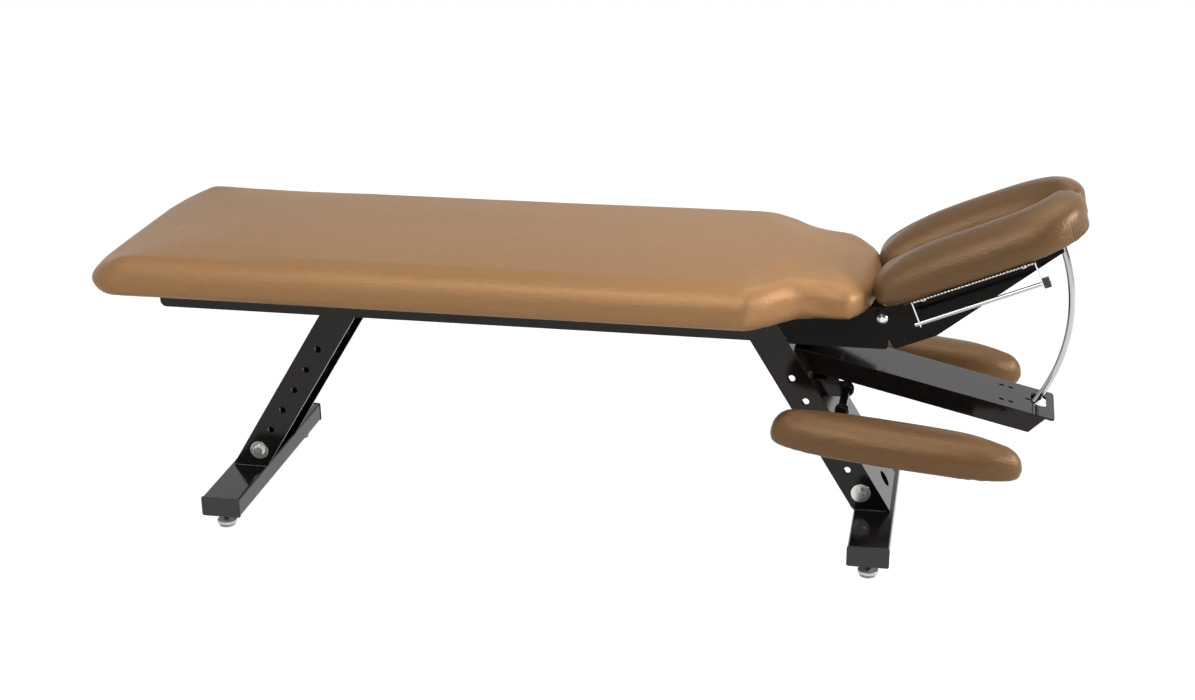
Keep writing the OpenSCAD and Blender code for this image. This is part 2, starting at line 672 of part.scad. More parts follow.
// Torsion spring round the pin beside the lever hub
spring_sides = 6;
spring_steps = 14;
module lock_spring() {
    r = lock_pin_d / 2 + seat_gap + lock_spring_wire / 2;
    n = lock_spring_turns * spring_steps;
    pitch = lock_spring_wire * 1.35;
    points = [for (i = [0 : n], j = [0 : spring_sides - 1])
        let (a = 360 * i / spring_steps, b = 360 * j / spring_sides,
             q = r + lock_spring_wire / 2 * cos(b))
        [q * cos(a), q * sin(a), pitch * i / spring_steps + lock_spring_wire / 2 * sin(b)]];
    sides = [for (i = [0 : n - 1], j = [0 : spring_sides - 1])
        let (k = (j + 1) % spring_sides, a = i * spring_sides, b = a + spring_sides)
        each [[a + j, a + k, b + j], [a + k, b + k, b + j]]];
    color(zinc) pivot_radius(lock_angle)
        translate([lock_pin_r, lock_lever_w / 2 + 2 * lock_spring_wire, 0]) rotate([-90, 0, 0])
            polyhedron(points, concat([[for (j = [spring_sides - 1 : -1 : 0]) j]], sides,
                [[for (j = [0 : spring_sides - 1]) n * spring_sides + j]]));
}

// Headpiece pivot: one bolt a side through head plate, washer and neck plate
pivot_head_d = 20;
pivot_head_t = 5;
pivot_nut_w = 16;
pivot_nut_t = 8;
pivot_washer_d = 26;
module pivot_bolt() {
    y0 = leg_w / 2 - leg_t - pivot_nut_t;
    y1 = leg_w / 2 + washer_t + plate_t;
    color(zinc) translate([pivot_x, 0, pivot_z]) rotate([-90, 0, 0]) {
        translate([0, 0, y0]) cylinder(d = pivot_bolt_d, h = y1 - y0);
        translate([0, 0, y0]) cylinder(d = pivot_nut_w / cos(30), h = pivot_nut_t, $fn = 6);
        translate([0, 0, y1]) cylinder(d1 = pivot_head_d, d2 = pivot_head_d / 2, h = pivot_head_t);
    }
}
module pivot_washers() {
    color(zinc) both_sides() translate([pivot_x, leg_w / 2, pivot_z]) rotate([-90, 0, 0]) difference() {
        cylinder(d = pivot_washer_d, h = washer_t);
        translate([0, 0, -cut_over]) cylinder(d = pivot_bolt_d + 2 * run_gap, h = washer_t + 2 * cut_over);
    }
}

// Headpiece steel in its own frame
head_ear_r = 16;
head_plate_back = 1;
head_plate_tip = 9;
head_corner_r = 6;
head_plate_top = lobe_lift - strap_t;
module head_plate() {
    y1 = leg_w / 2 + washer_t + plate_t;
    color(black_paint) head_frame() standing_plate(y1, plate_t) difference() {
        union() {
            circle(head_ear_r);
            polygon([[-head_plate_back, -head_plate_drop + head_corner_r],
                [-head_plate_back + head_corner_r, -head_plate_drop], [head_plate_deep, -head_plate_drop],
                [head_plate_len, head_plate_top - head_plate_tip], [head_plate_len, head_plate_top],
                [head_ear_r, head_plate_top], [0, head_ear_r], [-head_ear_r / 2, 0]]);
            translate([-head_plate_back + head_corner_r, -head_plate_drop + head_corner_r])
                circle(head_corner_r);
        }
        circle(d = pivot_bolt_d + 2 * run_gap);
    }
}
strap_w = 40;
strap_rear_x = 52;
strap_half = 132;
strap_front_half = 96;
strap_front_x = arc_r - strap_w / 2;
socket_d = 24;
socket_h = 16;
module head_straps() {
    color(black_paint) head_frame() translate([0, 0, lobe_lift - strap_t]) difference() {
        union() {
            translate([strap_rear_x, -strap_half, 0]) cube([strap_w, 2 * strap_half, strap_t]);
            translate([strap_front_x, -strap_front_half, 0]) cube([strap_w, 2 * strap_front_half, strap_t]);
            translate([arc_r, 0, -socket_h]) cylinder(d = socket_d, h = socket_h);
        }
        translate([0, 0, strap_t - lobe_lift]) arc_tube(arc_d + 2 * seat_gap, arc_bottom, arc_top(seat_gap));
        for (p = head_screw_places()) translate([p[0], p[1], -cut_over])
            cylinder(d = head_screw_d + 2 * seat_gap, h = strap_t + 2 * cut_over);
    }
}
head_screw_d = 5;
head_screw_head_d = 10;
head_screw_head_t = 3;
head_screw_depth = 8;
// Shares of the reach at which the screws of the two straps stand
rear_screw_shares = [0.42, 0.78];
front_screw_shares = [0.40, 0.57];
function head_screw_places() = concat(
    [for (s = [-1, 1], q = rear_screw_shares) [strap_rear_x + strap_w / 2, s * lobe_reach * q]],
    [for (s = [-1, 1], q = front_screw_shares) [strap_front_x + strap_w / 3, s * lobe_reach * q]]);
module head_screws() {
    color(zinc) head_frame() for (p = head_screw_places()) translate([p[0], p[1], lobe_lift - strap_t])
        screw_up(head_screw_d, head_screw_head_d, head_screw_head_t, strap_t + head_screw_depth);
}
module head_board() {
    color(plywood) head_frame() translate([0, 0, lobe_lift]) difference() {
        pad_board(lobe_pairs, board_rim + seat_gap);
        for (p = head_screw_places()) if (p[1] > 0) translate([p[0], p[1], -cut_over])
            cylinder(d = head_screw_d, h = head_screw_depth + cut_over);
    }
}
module head_cushion() {
    color(vinyl) head_frame() translate([0, 0, lobe_lift])
        cushion_form(lobe_pairs, pad_levels(lobe_t, 1, board_rim, board_t));
}

// Curved bar and its stop
stop_d = 5;
stop_w = 26;
stop_back = 7;
stop_angle = head_tilt + lock_angle + asin((lock_lever_t + stop_d + 2 * seat_gap) / 2 / arc_r);
// Angle above the headpiece's own X at which the end face of the bar, or of its socket's bore,
// comes to a gap below the strap
function arc_top(grow, gap = 0) = asin((lobe_lift - strap_t - gap) / (arc_r + arc_d / 2 + grow));
arc_bottom = stop_angle + asin(stop_back / arc_r);
module arc_tube(d, below, above) {
    rotate([90, 0, 0]) rotate([0, 0, -below])
        rotate_extrude(angle = below + above, $fn = 96) translate([arc_r, 0]) circle(d = d, $fn = 32);
}
module arc_bar() {
    color(chrome) head_frame() difference() {
        arc_tube(arc_d, arc_bottom, arc_top(0, seat_gap));
        rotate([0, stop_angle, 0]) translate([arc_r, 0, 0]) across(stop_d + 2 * run_gap, 2 * arc_d);
    }
}
module arc_stop() {
    color(zinc) head_frame() rotate([0, stop_angle, 0]) translate([arc_r, 0, 0]) across(stop_d, stop_w);
}

// Arm rests: a cross rod in two lugs, with a bracket, board and cushion a side
lug_t = 6;
lug_y = 56;
lug_w = 30;
arm_rod_x = pivot_x - arm_rod_back;
arm_rod_z = beam_under_z(arm_rod_x) - arm_rod_clear - lug_w / 2;
arm_bracket_t = 6;
arm_hang = 48;
arm_cheek_w = 22;
arm_shelf_len = 254;
arm_shelf_w = 64;
arm_rod_head_t = 3;
arm_cheek_y = arm_off - arm_w / 2 - arm_bracket_t - arm_rod_head_t - pass_gap;
collar_d = 26;
collar_t = 8;
module arm_frame() { translate([arm_rod_x, 0, arm_rod_z]) rotate([0, arm_slope, 0]) children(); }
module arm_rod_lugs() {
    rise = lug_w / 2;
    color(black_paint) both_sides() standing_plate(lug_y + lug_t, lug_t) difference() {
        union() {
            polygon([[leg_edge_x(arm_rod_z - rise), arm_rod_z - rise], [arm_rod_x, arm_rod_z - rise],
                [arm_rod_x, arm_rod_z + rise], [leg_edge_x(arm_rod_z + rise), arm_rod_z + rise]]);
            translate([arm_rod_x, arm_rod_z]) circle(d = lug_w);
        }
        translate([arm_rod_x, arm_rod_z]) circle(d = arm_rod_d + 2 * run_gap);
    }
}
module arm_rod() {
    color(chrome) translate([arm_rod_x, 0, arm_rod_z]) {
        across(arm_rod_d, 2 * (arm_cheek_y + arm_bracket_t + seat_gap));
        for (s = [-1, 1]) translate([0, s * (arm_cheek_y + arm_bracket_t + seat_gap + arm_rod_head_t / 2), 0])
            across(arm_cheek_w, arm_rod_head_t);
    }
}
module arm_rod_collars() {
    color(black_paint) both_sides()
    for (y = [lug_y + lug_t + collar_t / 2, arm_cheek_y - seat_gap - collar_t / 2])
        translate([arm_rod_x, y, arm_rod_z]) difference() {
            across(collar_d, collar_t);
            across(arm_rod_d + 2 * run_gap, collar_t + 2 * cut_over);
        }
}
module arm_bracket() {
    color(black_paint) arm_frame() difference() {
        union() {
            standing_plate(arm_cheek_y + arm_bracket_t, arm_bracket_t) union() {
                circle(d = arm_cheek_w);
                translate([-arm_cheek_w / 2, -arm_hang]) square([arm_cheek_w, arm_hang]);
            }
            translate([-arm_cheek_w / 2, arm_cheek_y, -arm_hang - arm_bracket_t])
                cube([arm_shelf_len, arm_bracket_t + arm_w / 2 + arm_shelf_w / 2, arm_bracket_t]);
        }
        across(arm_rod_d + 2 * run_gap, 4 * arm_off);
        for (p = arm_screw_places()) translate([p[0], p[1], -arm_hang - arm_bracket_t - cut_over])
            cylinder(d = arm_screw_d + 2 * seat_gap, h = arm_bracket_t + 2 * cut_over);
    }
}
arm_screw_d = 5;
arm_screw_head_d = 10;
arm_screw_head_t = 3;
arm_screw_depth = 8;
arm_screw_inset = 16;
function arm_screw_places() = [for (x = [arm_screw_inset, arm_shelf_len - arm_cheek_w / 2 - arm_screw_inset],
    y = [-1, 1]) [x, arm_off + y * arm_screw_inset]];
module arm_board() {
    color(plywood) arm_frame() translate([0, 0, -arm_hang]) difference() {
        translate([0, arm_off, 0]) pad_board(arm_pairs, board_rim + seat_gap);
        for (p = arm_screw_places()) translate([p[0], p[1], -cut_over])
            cylinder(d = arm_screw_d, h = arm_screw_depth + cut_over);
    }
}
module arm_cushion() {
    color(vinyl) arm_frame() translate([0, arm_off, -arm_hang])
        cushion_form(arm_pairs, pad_levels(arm_t, 0, board_rim, board_t));
}
module arm_screws() {
    color(zinc) arm_frame() for (p = arm_screw_places()) translate([p[0], p[1], -arm_hang - arm_bracket_t])
        screw_up(arm_screw_d, arm_screw_head_d, arm_screw_head_t, arm_bracket_t + arm_screw_depth);
}

// Paper holder on the near side of the headpiece: a bent strip with a toothed lip, and a rod
paper_t = 2.5;
paper_strip_w = 10;
paper_arm_w = 9;
paper_tooth = 4;
paper_tooth_count = 36;
paper_rod_up = 6;
paper_screw_d = 4;
paper_screw_head_d = 9;
paper_screw_head_t = 2.5;
paper_screw_inset = 22;
paper_rod_over = 8;
knob_d = 20;
knob_len = 12;
knob_grips = 20;
knob_grip_d = 2.4;
paper_axis_z = lobe_lift - paper_t - paper_drop + paper_rod_up;
module paper_frame() { head_frame() translate([paper_start, -paper_off, 0]) children(); }
module paper_bracket() {
    color(chrome) paper_frame() difference() {
        union() {
            translate([0, -paper_strip_w / 2, lobe_lift - paper_t]) cube([paper_len, paper_strip_w, paper_t]);
            for (x = [0, paper_len - paper_t])
                translate([x, -paper_arm_w / 2, lobe_lift - paper_t - paper_drop])
                    cube([paper_t, paper_arm_w, paper_drop + paper_t]);
            for (i = [0 : paper_tooth_count - 1])
                translate([(i + 0.5) * paper_len / paper_tooth_count, -paper_strip_w / 2, lobe_lift - paper_t])
                    linear_extrude(paper_t)
                        polygon([[-paper_tooth / 2, 0], [0, -paper_tooth], [paper_tooth / 2, 0]]);
        }
        translate([-cut_over, 0, paper_axis_z]) rotate([0, 90, 0])
            cylinder(d = paper_rod_d + 2 * run_gap, h = paper_len + 2 * cut_over);
        for (x = [paper_screw_inset, paper_len - paper_screw_inset])
            translate([x, 0, lobe_lift - paper_t - cut_over])
                cylinder(d = paper_screw_d + 2 * run_gap, h = paper_t + 2 * cut_over);
    }
}
module paper_screws() {
    color(zinc) paper_frame() for (x = [paper_screw_inset, paper_len - paper_screw_inset])
        translate([x, 0, lobe_lift - paper_t])
            screw_up(paper_screw_d, paper_screw_head_d, paper_screw_head_t, paper_t - seat_gap);
}
module paper_rod() {
    color(chrome) paper_frame() translate([-paper_rod_over, 0, paper_axis_z]) rotate([0, 90, 0])
        cylinder(d = paper_rod_d, h = paper_len + paper_rod_over + knob_len);
}
module paper_knob() {
    color(zinc) paper_frame()
    translate([paper_len + seat_gap, 0, paper_axis_z]) rotate([0, 90, 0]) difference() {
        cylinder(d = knob_d, h = knob_len);
        for (i = [0 : knob_grips - 1])
            rotate([0, 0, 360 * i / knob_grips]) translate([knob_d / 2, 0, -cut_over])
                cylinder(d = knob_grip_d, h = knob_len + 2 * cut_over, $fn = 16);
        translate([0, 0, -cut_over]) cylinder(d = paper_rod_d + 2 * run_gap, h = knob_len + 2 * cut_over);
    }
}

spine_channel();
spine_end_cap();
neck_plate();  // neck_plate_l
mirror([0, 1, 0]) neck_plate();  // neck_plate_r
body_board();
body_cushion();
board_screws();
leg_outer_foot();
leg_outer_head();
leg_inner_foot();
leg_inner_head();
foot_bar(foot_bar_x);  // foot_bar_foot
foot_bar(head_bar_x);  // foot_bar_head
bar_caps(foot_bar_x);  // bar_caps_foot
bar_caps(head_bar_x);  // bar_caps_head
leveler_nuts(foot_bar_x);  // leveler_nuts_foot
leveler_nuts(head_bar_x);  // leveler_nuts_head
leveler(foot_bar_x, 1);  // leveler_foot_l
leveler(foot_bar_x, -1);  // leveler_foot_r
leveler(head_bar_x, 1);  // leveler_head_l
leveler(head_bar_x, -1);  // leveler_head_r
color(zinc) foot_leg() height_bolt_in_frame();  // height_bolt_foot
color(zinc) head_leg() height_bolt_in_frame();  // height_bolt_head
head_beam();
arc_guide();
lock_pin();
lock_lever();
lock_spring();
pivot_bolt();  // pivot_bolt_l
mirror([0, 1, 0]) pivot_bolt();  // pivot_bolt_r
pivot_washers();
head_plate();  // head_plate_l
mirror([0, 1, 0]) head_plate();  // head_plate_r
head_straps();
head_board();  // head_board_l
mirror([0, 1, 0]) head_board();  // head_board_r
head_cushion();  // head_cushion_l
mirror([0, 1, 0]) head_cushion();  // head_cushion_r
head_screws();
arc_bar();
arc_stop();
arm_rod_lugs();
arm_rod();
arm_rod_collars();
arm_bracket();  // arm_bracket_l
mirror([0, 1, 0]) arm_bracket();  // arm_bracket_r
arm_board();  // arm_board_l
mirror([0, 1, 0]) arm_board();  // arm_board_r
arm_cushion();  // arm_cushion_l
mirror([0, 1, 0]) arm_cushion();  // arm_cushion_r
arm_screws();  // arm_screws_l
mirror([0, 1, 0]) arm_screws();  // arm_screws_r
paper_bracket();
paper_screws();
paper_rod();
paper_knob();
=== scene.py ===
import json
import math

import bmesh
import bpy
import numpy as np
from mathutils import Matrix, Vector


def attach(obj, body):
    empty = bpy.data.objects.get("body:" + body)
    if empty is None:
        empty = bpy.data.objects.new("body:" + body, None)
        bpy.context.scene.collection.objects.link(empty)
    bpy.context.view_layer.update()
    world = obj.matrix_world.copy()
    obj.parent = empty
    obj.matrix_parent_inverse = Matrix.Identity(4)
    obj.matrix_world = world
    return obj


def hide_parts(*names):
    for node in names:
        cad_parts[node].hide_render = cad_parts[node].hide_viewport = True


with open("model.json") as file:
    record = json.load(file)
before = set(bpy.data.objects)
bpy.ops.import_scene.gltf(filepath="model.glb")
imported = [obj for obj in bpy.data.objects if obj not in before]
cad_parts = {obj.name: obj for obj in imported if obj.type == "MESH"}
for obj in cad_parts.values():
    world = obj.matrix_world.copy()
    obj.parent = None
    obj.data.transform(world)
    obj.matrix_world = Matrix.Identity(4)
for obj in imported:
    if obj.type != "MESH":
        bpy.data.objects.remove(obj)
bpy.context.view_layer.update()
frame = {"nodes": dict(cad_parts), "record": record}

scene = bpy.context.scene
nodes = frame["nodes"]


def link(name, data):
    ob = bpy.data.objects.new(name, data)
    scene.collection.objects.link(ob)
    return ob


# Camera, solved on the photograph; its width and the focal length are in pixels
PHOTO_WIDTH, FOCAL, SENSOR = 1195, 1973.18, 36.0
CAM_AT = Vector((0.714171, -3.499138, 1.704238))
CAM_RIGHT = Vector((0.981195, 0.192680, -0.011415))
CAM_DOWN = Vector((0.058925, -0.355334, -0.932880))
CAM_FORWARD = Vector((-0.183803, 0.914665, -0.360006))
cam_data = bpy.data.cameras.new("camera")
cam_data.sensor_fit = "HORIZONTAL"
cam_data.sensor_width = SENSOR
cam_data.lens = FOCAL / PHOTO_WIDTH * SENSOR
cam_data.clip_end = 100
cam = link("camera", cam_data)
turn = Matrix((CAM_RIGHT, -CAM_DOWN, -CAM_FORWARD)).transposed()
cam.matrix_world = Matrix.Translation(CAM_AT) @ turn.to_4x4()
scene.camera = cam


# Materials
class Graph:
    """A node tree with short calls."""

    def __init__(self, owner, output="ShaderNodeOutputMaterial"):
        owner.use_nodes = True
        self.owner, self.tree = owner, owner.node_tree
        self.tree.nodes.clear()
        self.out = self.add(output)
        self.coord = self.add("ShaderNodeTexCoord").outputs

    def add(self, kind, inputs=None, **props):
        n = self.tree.nodes.new(kind)
        for k, v in props.items():
            setattr(n, k, v)
        for k, v in (inputs or {}).items():
            if isinstance(v, bpy.types.NodeSocket):
                self.tree.links.new(v, n.inputs[k])
            else:
                n.inputs[k].default_value = v
        return n

    def place(self, vector=None, **how):
        vector = vector or self.coord["Object"]
        return self.add("ShaderNodeMapping", {"Vector": vector, **how}).outputs[0]

    def noise(self, scale, detail=2.0, rough=0.5, vector=None, distortion=0.0):
        ins = {"Vector": vector or self.coord["Object"], "Scale": scale, "Detail": detail,
               "Roughness": rough, "Distortion": distortion}
        return self.add("ShaderNodeTexNoise", ins).outputs["Fac"]

    def cells(self, scale, vector):
        ins = {"Vector": vector, "Scale": scale}
        return self.add("ShaderNodeTexVoronoi", ins, feature="F1").outputs["Distance"]

    def ramp(self, fac, *stops):
        r = self.add("ShaderNodeValToRGB", {"Fac": fac})
        while len(r.color_ramp.elements) < len(stops):
            r.color_ramp.elements.new(0.5)
        for e, (at, c) in zip(r.color_ramp.elements, stops):
            e.position = at
            e.color = (*c, 1) if isinstance(c, tuple) else (c, c, c, 1)
        return r.outputs["Color"]

    def span(self, fac, lo, hi):
        return self.add("ShaderNodeMapRange", {"Value": fac, "To Min": lo, "To Max": hi}).outputs[0]

    def mix(self, fac, a, b):
        m = self.add("ShaderNodeMix", data_type="RGBA")
        for key, v in (("Factor", fac), ("A", a), ("B", b)):
            sock = next(s for s in m.inputs if s.name == key and s.enabled
                        and (s.type == "RGBA" or key == "Factor"))
            if isinstance(v, bpy.types.NodeSocket):
                self.tree.links.new(v, sock)
            else:
                sock.default_value = v if key == "Factor" else (*v, 1)
        return next(s for s in m.outputs if s.type == "RGBA")

    def math(self, op, a, b=0.0):
        return self.add("ShaderNodeMath", {0: a, 1: b}, operation=op).outputs[0]

    def bump(self, height, distance, strength=1.0, normal=None):
        ins = {"Height": height, "Distance": distance, "Strength": strength}
        if normal is not None:
            ins["Normal"] = normal
        return self.add("ShaderNodeBump", ins).outputs[0]

    def bevel(self, radius):
        return self.add("ShaderNodeBevel", {"Radius": radius}, samples=6).outputs[0]

    def finish(self, shader):
        self.tree.links.new(shader.outputs[0], self.out.inputs["Surface"])
        return self.owner

    def surface(self, **inputs):
        ins = {k.replace("_", " "): v for k, v in inputs.items()}
        return self.finish(self.add("ShaderNodeBsdfPrincipled", ins))


def material(name):
    return Graph(bpy.data.materials.new(name))


def vinyl(name, colour, seed, rough=(0.36, 0.44), gloss=0.22):
    """Upholstery cover: a cloudy tint, fine specks, veins along the pad, grain and pores."""
    def shade(share):
        return tuple(min(1, c * share) for c in colour)

    g = material(name)
    p = g.place(Location=(seed, seed * 0.7, 0))
    tint = g.mix(g.noise(2.2, 3, 0.5, p), shade(0.93), shade(1.06))
    fine = g.noise(420, 3, 0.6, p)
    tint = g.mix(g.span(fine, 0.0, 0.24), tint, shade(0.72))
    streaks = g.place(p, Scale=(0.35, 1.0, 1.0))
    veins = g.ramp(g.noise(170, 4, 0.65, streaks), (0.46, 1.0), (0.66, 0.0))
    tint = g.mix(g.math("MULTIPLY", veins, 0.20), tint, shade(0.66))
    sag = g.noise(11, 2, 0.5, p)
    n = g.bump(sag, 0.0016, 0.5)
    n = g.bump(veins, 0.0006, 0.35, n)
    grain, pores = g.cells(760, p), g.cells(1500, p)
    n = g.bump(grain, 0.00034, 0.6, n)
    n = g.bump(pores, 0.00008, 0.5, n)
    return g.surface(Base_Color=tint, Roughness=g.span(g.noise(55, 3, 0.6, p), *rough), Normal=n,
                     Metallic=0.26, Specular_IOR_Level=gloss, Specular_Tint=(1.0, 0.92, 0.84, 1))


def black_paint(name, gloss=0.28):
    g = material(name)
    peel = g.noise(240, 2, 0.5)
    n = g.bump(peel, 0.00006, 0.5, g.bevel(0.0014))
    dust = g.ramp(g.noise(38, 4, 0.65), (0.35, 0.0), (0.75, 1.0))
    col = g.mix(g.math("MULTIPLY", dust, 0.12), (0.0070, 0.0058, 0.0056), (0.04, 0.036, 0.034))
    return g.surface(Base_Color=col, Roughness=g.span(g.noise(70, 3, 0.6), 0.09, 0.17), Normal=n,
                     Specular_IOR_Level=gloss, Specular_Tint=(1.0, 0.93, 0.88, 1))


def zinc(name, tone=0.72, rough=(0.24, 0.40)):
    g = material(name)
    cloud = g.noise(130, 4, 0.6)
    col = g.mix(cloud, (tone, tone, tone * 0.97), (tone * 0.82, tone * 0.82, tone * 0.8))
    n = g.bump(g.noise(900, 2, 0.5), 0.00003, 0.5, g.bevel(0.0006))
    return g.surface(Base_Color=col, Metallic=1.0, Roughness=g.span(g.noise(260, 3, 0.6), *rough),
                     Normal=n)


def chrome(name, tone):
    g = material(name)
    haze = g.noise(90, 3, 0.6)
    col = g.mix(haze, (tone, tone * 0.985, tone * 0.98), (tone * 0.92, tone * 0.91, tone * 0.90))
    n = g.bump(g.noise(700, 2, 0.5), 0.00001, 0.4, g.bevel(0.0006))
    return g.surface(Base_Color=col, Metallic=1.0, Roughness=g.span(haze, 0.04, 0.10), Normal=n)


def plastic(name):
    g = material(name)
    n = g.bump(g.noise(1400, 2, 0.6), 0.00012, 0.6, g.bevel(0.0010))
    col = g.mix(g.noise(60, 3, 0.6), (0.014, 0.014, 0.015), (0.024, 0.023, 0.023))
    return g.surface(Base_Color=col, Roughness=g.span(g.noise(300, 2, 0.5), 0.38, 0.52), Normal=n)


def plywood(name):
    g = material(name)
    grain = g.noise(9, 6, 0.65, g.place(Scale=(1, 22, 4)), 0.6)
    tint = g.ramp(grain, (0.25, (0.40, 0.25, 0.12)), (0.5, (0.55, 0.37, 0.20)),
                  (0.8, (0.64, 0.46, 0.27)))
    n = g.bump(grain, 0.0003, 0.6, g.bevel(0.0008))
    return g.surface(Base_Color=tint, Roughness=g.span(grain, 0.55, 0.75), Normal=n)


# Heights of the leveling foot's pad and disc, in metres over the floor
PAD_TOP, DISC_TOP = 0.0071, 0.0122


def leveler(name):
    """Pale pad and plated disc, with a dark screw above them."""
    g = material(name)
    z = g.add("ShaderNodeSeparateXYZ", {"Vector": g.coord["Object"]}).outputs["Z"]
    screw = g.math("GREATER_THAN", z, DISC_TOP)
    disc = g.math("GREATER_THAN", z, PAD_TOP)
    thread = g.add("ShaderNodeTexWave", {"Vector": g.coord["Object"], "Scale": 180},
                   bands_direction="Z").outputs["Fac"]
    pale = g.mix(g.noise(200, 3, 0.6), (0.72, 0.69, 0.62), (0.60, 0.57, 0.50))
    steel = g.mix(g.noise(150, 3, 0.6), (0.74, 0.73, 0.70), (0.60, 0.59, 0.57))
    col = g.mix(screw, g.mix(disc, pale, steel), (0.06, 0.06, 0.062))
    n = g.bump(g.math("MULTIPLY", thread, screw), 0.0006, 0.8, g.bevel(0.0012))
    return g.surface(Base_Color=col, Metallic=g.math("MULTIPLY", disc, 0.55), Normal=n,
                     Roughness=g.span(g.noise(300, 2, 0.5), 0.26, 0.40))


finishes = {
    "black": black_paint("black_powder_coat"), "deep": black_paint("black_plate_coat", 0.10),
    "weld": black_paint("weld_coat", 0.9), "plastic": plastic("black_plastic"),
    "plywood": plywood("plywood_board"), "leveler": leveler("leveler_finish"),
    "zinc": zinc("zinc_plate"), "dark": zinc("dark_plate", 0.06, (0.16, 0.30)),
    "bolt": zinc("bolt_plate", 0.74, (0.12, 0.34)), "bar": chrome("bar_chrome", 0.48),
    "wire": chrome("wire_chrome", 0.70), "rod": chrome("rod_chrome", 0.46),
}
of_slot = {"plywood": "plywood", "black_paint": "black", "black_plastic": "plastic",
           "leveler": "leveler", "zinc": "zinc"}
# Nodes whose finish differs from their slot's; every chrome node is among them
of_node = {
    "arc_bar": "bar", "paper_rod": "rod", "paper_bracket": "wire", "paper_knob": "dark",
    "arm_rod": "dark", "lock_pin": "black", "neck_plate_l": "deep", "neck_plate_r": "deep",
    "head_plate_l": "deep", "head_plate_r": "deep", "pivot_bolt_l": "bolt",
    "pivot_bolt_r": "bolt", "height_bolt_foot": "bolt", "height_bolt_head": "bolt",
}
for entry in frame["record"]["subparts"]:
    finish = of_node.get(entry["node"], of_slot.get(entry["material_slot"]))
    if finish:
        ob = nodes[entry["node"]]
        ob.data.materials.clear()
        ob.data.materials.append(finishes[finish])


# Cushion forms, in millimetres of their own frames until they are placed
# Body: its foot end and the neck's front edge on X, the neck's width and run back to the shoulder
BODY_LEN, BODY_W, BODY_T, BODY_CROWN = 1474.0, 520.0, 80, 5
FOOT_X, NECK_W, NECK_RUN = -924.4, 342.0, 234.0
NECK_X = FOOT_X + BODY_LEN
# Foot corners' radius, bow of the foot edge and of the sides, dip and wider roll of the foot's top
FOOT_R, FOOT_BOW, WAIST, FOOT_DIP, FOOT_ROLL = 68.0, 8, 3, 6, 2.1
SPINE_TOP, CALM_TIMES = 477.0, 260
# Lobes of the headpiece, from their back edge; tilted about the pivot
LOBE_BACK, LOBE_LEN, LOBE_W, LOBE_T, LOBE_CROWN = 5, 407, 148, 79, 1
PIVOT, HEAD_TILT = (NECK_X + 10, SPINE_TOP - 19), math.radians(22.5)
# Arm rests: half length and width, length behind the rod, share of the half length with a core
ARM_HALF, ARM_HALF_W, ARM_T, ARM_BACK, ARM_CORE = 226.0, 54, 66, 121, 0.78
ARM_TILT = math.radians(5.7)
# All cushions: width and depth of the rim round the board, and what the skin stands inside the form
RIM, RECESS, SHRINK = 16, 12, 0.5
# Depth, width and top of a fold, the way from pleat to pleat and the stretch of the lobes' front
CORNER_FOLD, FRONT_PLEAT, PLEAT_STEP = (2.2, 2.4, 20), (2.0, 1.9, 44), 7.5
PLEATS_AHEAD, PLEATS_FROM, PLEATS_TO = 372, 60, 122
# In metres: the lobes' underside over the head pivot, the arm rod, an arm cushion's underside from
# the rod, and the remesh's voxels
LOBE_LIFT, ARM_ROD, ARM_OFF = (0, 0, 0.028), (0.4966, 0, 0.302), (0, 0.232, -0.048)
BODY_VOXEL, PAD_VOXEL = 0.008, 0.0055


def curve_through(points, steps, closed=False):
    """Catmull-Rom points; an open run leaves out its first and last span."""
    pts = np.array(points, float)
    n = len(pts)
    out = []
    for i in range(n if closed else n - 3):
        a, b, c, d = (pts[(i + k) % n] for k in range(4)) if closed else pts[i:i + 4]
        for s in range(steps):
            t = s / steps
            out.append((2 * b + (c - a) * t + (2 * a - 5 * b + 4 * c - d) * t * t
                        + (3 * b - a - 3 * c + d) * t ** 3) / 2)
    return np.array(out)


def body_outline():
    half, nhalf = BODY_W / 2, NECK_W / 2
    shoulder = NECK_X - NECK_RUN

    def foot_x(y):
        return FOOT_X - FOOT_BOW / 2 + FOOT_BOW * (y / half) ** 2

    def side_y(share):
        return half - WAIST * math.sin(math.pi * share)

    cx, cy = foot_x(half) + FOOT_R, half - FOOT_R
    pts = [(foot_x(y), y) for y in np.linspace(0, cy, 9)[:-1]]
    pts += [(cx - FOOT_R * math.cos(a), cy + FOOT_R * math.sin(a))
            for a in np.radians(np.arange(0, 91, 7.5))]
    run = shoulder - NECK_RUN * 0.3 - cx
    pts += [(cx + run * s / 24, side_y(s / 24)) for s in range(1, 24)]
    # Shares of the neck's run, and of the drop from shoulder to neck or of the neck's half width
    neck = [(-0.30, 1), (0, 1), (0.05, 0.985), (0.175, 0.73), (0.335, 0.30), (0.44, 0.10),
            (0.585, 0), (0.73, 0.01), (0.82, -0.06)]
    tip = [(0.90, 0.81), (0.945, 0.67), (0.975, 0.50), (0.993, 0.28), (1, 0), (0.993, -0.28)]
    knots = [(cx + run * 0.75, side_y(0.75))]
    knots += [(shoulder + NECK_RUN * a, nhalf + (half - nhalf) * b) for a, b in neck]
    knots += [(shoulder + NECK_RUN * a, nhalf * b) for a, b in tip]
    pts += [tuple(p) for p in curve_through(knots, 8)]
    pts.append((NECK_X, 0.0))
    top = [p for p in pts if p[1] >= 0]
    return np.array(top + [(x, -y) for x, y in reversed(top) if y > 0.3])


